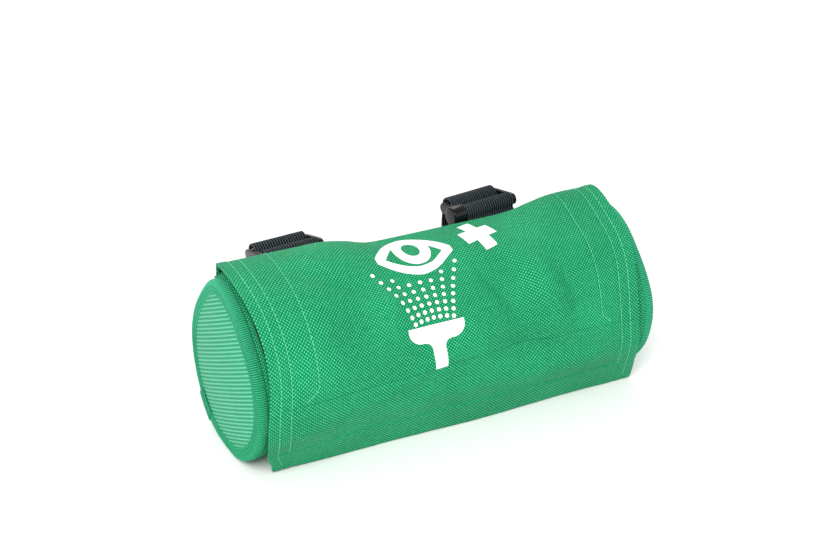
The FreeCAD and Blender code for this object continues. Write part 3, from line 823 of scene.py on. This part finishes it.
# The edge tape's section: how far beyond the wall's end, and how far out from it.
TAPE_SECTION = [(-3.4, 0.05), (-3.2, 0.9), (-2.2, 1.25), (-0.8, 1.3), (0.4, 1.25), (1.4, 0.9), (2.1, 0.1),
                (2.4, -0.8), (2.45, -1.6), (2.15, -2.1), (2.45, -2.7), (2.5, -3.6), (2.15, -4.1), (2.4, -4.7),
                (2.35, -5.6), (1.9, -6.1), (1.4, -5.8), (1.2, -4.0), (1.0, -1.2), (0.2, -0.3), (-1.6, -0.1)]


def make_end_binding(side, word):
    """Grosgrain tape folded over the seam and sewn through; its two ends lap low on the back."""
    around = 2 * math.pi * POUCH_RADIUS
    count = int(around / GROSGRAIN_RIB) * 4
    points, uvs = [], []
    for k in range(count):
        angle = 360 * k / count
        grow = 0.10 * math.cos(math.pi * k / 2) + (0.7 if 296 < angle < 318 else 0.0)
        for run, (beyond, out) in enumerate(TAPE_SECTION):
            top = out > 0.5 and beyond > -3.3
            outer = beyond > 1.3 and -5.9 < out <= 0.9
            raised = out > 0.0 and (top or outer)
            points.append(rim_point(side, angle, out + raised * grow, beyond + outer * grow))
            uvs.append((around * k / count, run))
    faces = other_way_round(ring_faces(count, len(TAPE_SECTION), closed=True))
    tape = mesh_piece("end_binding_" + word, points, faces, uvs)
    face_outwards(tape)
    finish_piece(tape, grosgrain, "pouch", word + "_end_binding")

    def lip(angle, out, lift):
        return rim_point(side, angle, out, 2.45 + lift)

    rows = [[(angle, out) for angle in steps(0, 360, 4)] for out in (-2.1, -4.1)]
    stitches = thread_rows("binding_stitches_" + word, rows, lip, thread_green, 0.16, pitch=3.4,
                           length=3.0)
    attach(stitches, "pouch")


def make_loop_tape(name, node, xs, angles):
    """Napped loop tape sewn on the outside of the wall, gathered in on the right as the flap is."""
    def place(x, angle):
        s = SKIRT + FLAP_RADIUS * (FLAP_TURN - math.radians(angle))
        gathered = flap_shift(x, s) - 0.8 if x > 77 else 2.6 * ramp(-86, -104, x)
        return wall_point(x + gathered, angle, TAPE_THICK)

    tape = cloth_sheet(name, xs, angles, place)
    tape.data.flip_normals()
    thicken(tape, TAPE_THICK, 0.3)
    finish_piece(tape, loop_black, "pouch", node)


def make_loop_tapes():
    for word in ("left", "right"):
        low, high = box_mm(word + "_loop_tape")
        xs = steps(low.x, high.x, 0.8)
        make_loop_tape("loop_tape_" + word, word + "_loop_tape", xs, steps(66, 182, 2))
    low, high = box_mm("front_loop_tape")
    make_loop_tape("loop_tape_front", "front_loop_tape", steps(low.x, high.x, 3), steps(191.7, 213.7, 1.5))


# ---- belt straps ----

RIB_HEIGHT = 0.14
STRAP_SLACK = 1.4
FOLD_SPARE = 1.1  # easing a route pulls its folds in by a tenth
BAR_RADIUS = 2.5
BAR_SPACING = 16.0
BELT_GAP = 8.5
RING_TILT = {"left": math.radians(-17), "right": math.radians(-12)}
STRAP_BEND = {"left": 56.0, "right": 62.0}
RING_GAP = 0.5
RING_END_RADIUS = 3.2
RING_END_THICK = 2.5
BOSS_RADIUS = 5.2
BOSS_LENGTH = 6.0
TAIL_END = 34.0
# The rings hang a little askew, turned about the vertical.
ASKEW = {"left": math.radians(5), "right": math.radians(8)}


def arc_points(centre, radius, start, end, pitch=0.7):
    """Points along an arc, angles in radians."""
    count = max(2, round(abs(end - start) * radius / pitch))
    return [(centre[0] + radius * math.cos(start + (end - start) * k / count),
             centre[1] + radius * math.sin(start + (end - start) * k / count)) for k in range(count + 1)]


def touch(point, centre, radius, side):
    """Where a straight run from a point touches a circle, passing it on its left (1) or right (-1)."""
    away = Vector(centre) - Vector(point)
    heading = math.atan2(away.y, away.x) + side * math.asin(radius / away.length)
    reach = math.sqrt(away.length ** 2 - radius ** 2)
    return (point[0] + reach * math.cos(heading), point[1] + reach * math.sin(heading))


def smooth_route(points, pitch=0.8, rounds=10):
    """Points spaced evenly along a polyline, its corners eased."""
    dense = [Vector(points[0])]
    for a, b in zip(points, points[1:]):
        a, b = Vector(a), Vector(b)
        count = max(1, round((b - a).length / pitch))
        dense += [a.lerp(b, (k + 1) / count) for k in range(count)]
    for _ in range(rounds):
        dense[1:-1] = [(a + b * 2 + c) / 4 for a, b, c in zip(dense, dense[1:], dense[2:])]
    return dense


def ribbon(name, route, x0, x1):
    """Webbing along a route in the YZ plane, with ribs that run along it and soft woven edges."""
    width = x1 - x0
    ribs = round(width / WEBBING_RIB)
    section = []
    for k in range(ribs * 4 + 1):
        share = k / (ribs * 4)
        edge = min(share, 1 - share) * width
        round_off = math.sqrt(max(0.0, 1 - max(0.0, 1 - edge / 0.8) ** 2))
        crest = RIB_HEIGHT * abs(math.sin(math.pi * share * ribs))
        section.append((x0 + share * width, (WEBBING_THICK / 2 - RIB_HEIGHT) * round_off + crest * round_off))
    loop = section + [(x, -half) for x, half in reversed(section[1:-1])]
    points, uvs = [], []
    run = 0.0
    for index, place in enumerate(route):
        before, after = route[max(0, index - 1)], route[min(len(route) - 1, index + 1)]
        heading = (after - before).normalized()
        normal = Vector((-heading.y, heading.x))
        if index:
            run += (place - route[index - 1]).length
        for x, half in loop:
            spot = place + normal * (half + 0.15 * ripple(x, run, 14, 4.4))
            points.append((x, spot.x, spot.y))
            uvs.append((run, x - x0))
    wide = len(loop)
    faces = other_way_round(ring_faces(len(route), wide))
    faces.append(tuple(range(wide)))
    faces.append(tuple(reversed(range(len(points) - wide, len(points)))))
    webbing = mesh_piece(name, points, faces, uvs)
    face_outwards(webbing)
    return webbing


def ring_bars(word):
    """The centres (y, z) of a ring's front and outer bars."""
    place = joint_place(word + "_ring_rock")
    tilt = RING_TILT[word]
    front = (place.y, place.z)
    return front, (front[0] + BAR_SPACING * math.cos(tilt), front[1] + BAR_SPACING * math.sin(tilt))


def strap_edges(word):
    """The two sides of a strap along X."""
    low, high = box_mm(word + "_belt_strap")
    return low.x, high.x


def hang_askew(obj, word, whole=False):
    """Turns a piece with its ring; webbing follows near the ring only, and stays put where it is sewn."""
    front, outer = ring_bars(word)
    x0, x1 = strap_edges(word)
    centre = Vector(((x0 + x1) / 2, (front[0] + outer[0]) / 2, 0)) * MM
    for vertex in obj.data.vertices:
        x, y, z = vertex.co / MM
        off_pouch = math.hypot(y, z - AXIS_Z) - POUCH_RADIUS
        share = 1.0 if whole else ramp(58, 73, z) * ramp(0.9, 3.4, off_pouch)
        turn = Matrix.Rotation(ASKEW[word] * share, 3, "Z")
        vertex.co = centre + turn @ (vertex.co - centre)


def make_strap(word):
    """Belt strap, tail and ring tab of one side."""
    x0, x1 = strap_edges(word)
    front, outer = ring_bars(word)
    fold = (BAR_RADIUS + STRAP_SLACK + WEBBING_THICK / 2) * FOLD_SPARE
    on_wall = POUCH_RADIUS + WEBBING_THICK / 2 + 0.1
    strap_y = POUCH_RADIUS + BELT_GAP + WEBBING_THICK / 2
    tail_y = strap_y + WEBBING_THICK + 2 * TAPE_THICK + 0.3
    sewn = arc_points((0, AXIS_Z), on_wall, math.radians(-62), math.radians(-46))
    leave = sewn[-1]
    low_bend = (strap_y, leave[1] + (strap_y - leave[0]) * math.tan(math.radians(44)))
    high_bend = (strap_y, STRAP_BEND[word])
    tail_bend = (tail_y, STRAP_BEND[word] + 1)
    fold_in, fold_out = touch(high_bend, outer, fold, 1), touch(tail_bend, outer, fold, -1)
    start = math.atan2(fold_in[1] - outer[1], fold_in[0] - outer[0])
    end = math.atan2(fold_out[1] - outer[1], fold_out[0] - outer[0])
    if end > start:
        end -= 2 * math.pi
    over = arc_points(outer, fold, start, end)
    strap = ribbon("belt_strap_" + word, smooth_route(sewn + [low_bend, high_bend] + over), x0, x1)
    hang_askew(strap, word)
    finish_piece(strap, webbing_black, "pouch", word + "_belt_strap")
    hinge = joint_place(word + "_tail_peel")
    tail_route = smooth_route([(hinge.y, hinge.z), tail_bend, (tail_y, TAIL_END)])
    tail = ribbon("strap_tail_" + word, tail_route, x0, x1)
    hang_askew(tail, word)
    finish_piece(tail, webbing_black, word + "_tail", word + "_strap_tail")
    tab_radius = BAR_RADIUS + 0.6 + WEBBING_THICK / 2
    base = math.atan2(front[1] - AXIS_Z, front[0])
    lower = arc_points((0, AXIS_Z), on_wall, math.radians(40), base - 0.035)
    upper = arc_points((0, AXIS_Z), on_wall, base + 0.035, math.radians(53))
    loop_gap = math.asin(0.75 / tab_radius * 1.2)
    around = arc_points(front, tab_radius, base + math.pi + loop_gap, base + 3 * math.pi - loop_gap)
    tab = ribbon("ring_tab_" + word, smooth_route(lower + around + upper, 0.6, 4), x0, x1)
    hang_askew(tab, word)
    finish_piece(tab, webbing_black, "pouch", word + "_ring_tab")


def round_bar(x0, x1, place, radius, sides=48):
    """A round bar along X, made where it belongs."""
    bpy.ops.object.select_all(action="DESELECT")
    bpy.ops.mesh.primitive_cylinder_add(vertices=sides, radius=radius * MM, depth=(x1 - x0) * MM,
                                        location=Vector(((x0 + x1) / 2, *place)) * MM,
                                        rotation=(0, math.pi / 2, 0))
    bar = bpy.context.view_layer.objects.active
    bpy.ops.object.transform_apply(location=True, rotation=True, scale=True)
    return bar


def make_ring(word):
    """Two round bars between flat oval ends; the right ring has a round boss on its front bar."""
    front, outer = ring_bars(word)
    edges = strap_edges(word)
    x0, x1 = edges[0] - RING_GAP, edges[1] + RING_GAP
    middle = ((front[0] + outer[0]) / 2, (front[1] + outer[1]) / 2)
    ahead = Vector((0, math.cos(RING_TILT[word]), math.sin(RING_TILT[word])))
    parts = []
    if word == "right":
        parts.append(soften(round_bar(x0 - RING_END_THICK - BOSS_LENGTH, x0, front, BOSS_RADIUS), 0.9))
    for start in (x0 - RING_END_THICK, x1):
        plate = round_bar(start, start + RING_END_THICK, middle, RING_END_RADIUS)
        centre = Vector((start, *middle)) * MM
        for vertex in plate.data.vertices:
            vertex.co += ahead * math.copysign(BAR_SPACING / 2 * MM, (vertex.co - centre).dot(ahead))
        parts.append(soften(plate, 0.7))
    for bar in (front, outer):
        parts.append(round_bar(x0 - 1, x1 + 1, bar, BAR_RADIUS, 40))
    ring = parts[0]
    for other in parts[1:]:
        unite(ring, other)
    ring.name = "strap_ring_" + word
    hang_askew(ring, word, whole=True)
    select_only(ring)
    bpy.ops.object.shade_smooth_by_angle(angle=math.radians(35))
    finish_piece(ring, acetal, word + "_ring", word + "_strap_ring")


# ---- bottle and its fittings ----

def turned(name, profile, edge=0.0):
    """A profile (distance along X, radius) spun about the bottle's axis."""
    mesh = bpy.data.meshes.new(name)
    points = [(along * MM, 0, (BOTTLE_Z + radius) * MM) for along, radius in profile]
    closed = profile[0][1] > 0.01 and profile[-1][1] > 0.01
    edges = [(k, k + 1) for k in range(len(points) - 1)]
    if closed:
        edges.append((len(points) - 1, 0))
    mesh.from_pydata(points, edges, [])
    obj = new_object(name, mesh)
    select_only(obj)
    bpy.ops.object.mode_set(mode="EDIT")
    bpy.ops.mesh.select_all(action="SELECT")
    bpy.ops.mesh.spin(steps=96, angle=2 * math.pi, center=(0, 0, BOTTLE_Z * MM), axis=(1, 0, 0))
    bpy.ops.mesh.select_all(action="SELECT")
    bpy.ops.mesh.remove_doubles(threshold=0.00001)
    bpy.ops.mesh.normals_make_consistent(inside=False)
    bpy.ops.object.mode_set(mode="OBJECT")
    if edge:
        soften(obj, edge, 3, 40)
    select_only(obj)
    bpy.ops.object.shade_smooth_by_angle(angle=math.radians(40))
    return obj


def make_bottle():
    low, high = box_mm("bottle_body")
    base, top = low.x, high.x
    radius = (high.z - low.z) / 2
    neck = 14.0
    shoulder = [(top - 34 + 18 * k / 12, neck + (radius - neck) * math.cos(math.pi / 2 * k / 12) ** 0.8)
                for k in range(12)]
    profile = [(base + 1.6, 0), (base + 1.2, radius - 12), (base, radius - 8)]
    profile += [(base + 5 - 5 * math.cos(turn), radius - 5 + 5 * math.sin(turn))
                for turn in steps(0, math.pi / 2, math.pi / 12)]
    for k in range(3):  # squeeze grooves
        groove = base + 112 + 5 * k
        profile += [(groove - 1.4, radius), (groove - 0.7, radius - 0.5), (groove, radius - 0.7),
                    (groove + 0.7, radius - 0.5), (groove + 1.4, radius)]
    profile += shoulder + [(top - 16, neck), (top - 1, neck), (top, neck - 0.6), (top, neck - 2)]
    profile += [(top - 15, neck - 2), (top - 34, radius - 1.4), (base + 6, radius - 1.4),
                (base + 3, radius - 9), (base + 3, 0)]
    finish_piece(turned("squeeze_bottle", profile), polyethylene, "bottle", "bottle_body")


def make_label():
    """A wrap-round film label: white with two plain green bands and no lettering."""
    low, high = box_mm("bottle_label")
    radius = (high.z - low.z) / 2
    bands = (low.x + 14, high.x - 8)
    label = turned("wrap_label", [(low.x, radius - 0.25), (low.x, radius), (bands[0], radius),
                                  (bands[1], radius), (high.x, radius), (high.x, radius - 0.25)])
    finish_piece(label, film_label, "bottle", "bottle_label")
    label.data.materials.append(film_green)
    for polygon in label.data.polygons:
        if not bands[0] <= polygon.center.x / MM <= bands[1]:
            polygon.material_index = 1


def make_eye_cup():
    """A ridged screw collar that opens into the cup held over the eye."""
    low, high = box_mm("eye_cup")
    start, rim = low.x, high.x
    floor = rim - 12
    collar_in, collar_out, mouth = 14.3, 17.7, 29.0
    flare = [(floor + 9 * k / 8, collar_out + (mouth - collar_out) * math.sin(math.pi / 2 * k / 8) ** 1.2)
             for k in range(9)]
    inner = [(x + 1.6, radius - 2.0) for x, radius in reversed(flare[1:])]
    profile = [(start, collar_in), (start, collar_out)] + flare + [(rim - 0.8, mouth), (rim, mouth - 0.8)]
    profile += [(rim, mouth - 1.5)] + inner + [(floor + 2, collar_out - 2.5), (floor + 2, 7.4), (floor, 7.4),
                                              (floor, collar_in)]
    finish_piece(turned("eye_cup_moulding", profile, edge=0.2), polypropylene, "cup", "eye_cup")
    ridges = []
    for k in range(36):
        turn = 2 * math.pi * k / 36
        place = (collar_out * math.cos(turn), BOTTLE_Z + collar_out * math.sin(turn))
        ridges.append(round_bar(start + 1, start + 10, place, 0.55, 8))
    for ridge in ridges:
        ridge.select_set(True)
    bpy.ops.object.join()
    grip = bpy.context.view_layer.objects.active
    grip.name = "collar_grip_ribs"
    soften(grip, 0.2, 2, 60)
    finish_piece(grip, polypropylene, "cup")


def make_dust_cap():
    low, high = box_mm("dust_cap")
    start, top = low.x, high.x
    outer = (high.z - low.z) / 2
    profile = [(start, outer - 1.6), (start, outer - 0.4), (start + 0.8, outer), (top - 1.6, outer)]
    profile += [(top - 1.6 + 1.6 * math.sin(turn), outer - 1.6 + 1.6 * math.cos(turn))
                for turn in steps(math.pi / 12, math.pi / 2, math.pi / 12)]
    profile += [(top, outer - 6), (top - 0.7, outer - 7), (top - 0.7, 0), (top - 2, 0),
                (top - 2, outer - 1.6)]
    finish_piece(turned("dust_cap_moulding", profile), polypropylene_green, "cap", "dust_cap")


# ---- finishes of the CAD pieces that stay ----

def dress_cad_nodes():
    kept = {"mouth_binding": grosgrain, "flap_root_seam": grosgrain, "saline_fill": saline_clear,
            "spray_insert": polyethylene, "neck_gasket": rubber_grey, "left_strap_loop_patch": loop_black,
            "right_strap_loop_patch": loop_black, "left_tail_hook_patch": hook_black,
            "right_tail_hook_patch": hook_black}
    for node, material in kept.items():
        for slot in frame["nodes"][node].material_slots:
            slot.material = material


# ---- floor, light and camera ----

def make_stage():
    bpy.ops.object.select_all(action="DESELECT")
    bpy.ops.mesh.primitive_plane_add(size=6.0, location=(0, 0, 0))
    floor = bpy.context.view_layer.objects.active
    floor.name = "floor"
    paper = new_material("paper_white", Base_Color=colour("#FAF7F8"), Roughness=0.9)[0]
    floor.data.materials.append(paper)


def make_light(name, place, target, size, power):
    data = bpy.data.lights.new(name, "AREA")
    data.energy = power
    data.size = size
    lamp = new_object(name, data)
    lamp.location = place
    lamp.rotation_euler = (Vector(target) - Vector(place)).to_track_quat("-Z", "Y").to_euler()


def make_lights():
    target = (0, 0, 0.045)
    bpy.context.scene.view_settings.view_transform = "Standard"
    make_light("key", (-0.55, -0.75, 1.0), target, 0.6, 15)
    make_light("fill", (0.9, -0.8, 0.5), target, 1.0, 3)
    make_light("back", (0.2, 0.9, 0.9), target, 0.8, 6)
    world = bpy.data.worlds.new("studio")
    bpy.context.scene.world = world
    world.use_nodes = True
    background = world.node_tree.nodes["Background"]
    background.inputs[0].default_value = colour("#FFFFFF")
    background.inputs[1].default_value = 0.6


def make_camera():
    """A camera in front, to the left and above, aimed a little off the pouch's middle."""
    azimuth, elevation, distance = math.radians(-25.08), math.radians(29.44), 0.788
    level = math.cos(elevation)
    back = Vector((math.sin(azimuth) * level, -math.cos(azimuth) * level, math.sin(elevation)))
    right = Vector((math.cos(azimuth), math.sin(azimuth), 0))
    up = back.cross(right)
    data = bpy.data.cameras.new("camera")
    data.lens = 65.25
    data.sensor_width = 36.0
    data.clip_start = 0.01
    camera = new_object("camera", data)
    camera.location = Vector((0, 0, 0.044)) + right * -0.006 + up * 0.0229 + back * distance
    camera.rotation_mode = "QUATERNION"
    camera.rotation_quaternion = (-back).to_track_quat("-Z", "Y")
    bpy.context.scene.camera = camera


make_camera()
make_lights()
make_stage()
make_flap()
make_flap_stitches()
make_hook_tapes()
make_print()
make_wall()
SIDES = ((-1, "left"), (1, "right"))
for side_sign, side_word in SIDES:
    make_end_panel(side_sign, side_word)
for side_sign, side_word in SIDES:
    make_end_binding(side_sign, side_word)
make_loop_tapes()
for side_sign, side_word in SIDES:
    make_strap(side_word)
    make_ring(side_word)
make_bottle()
make_label()
make_eye_cup()
make_dust_cap()
dress_cad_nodes()
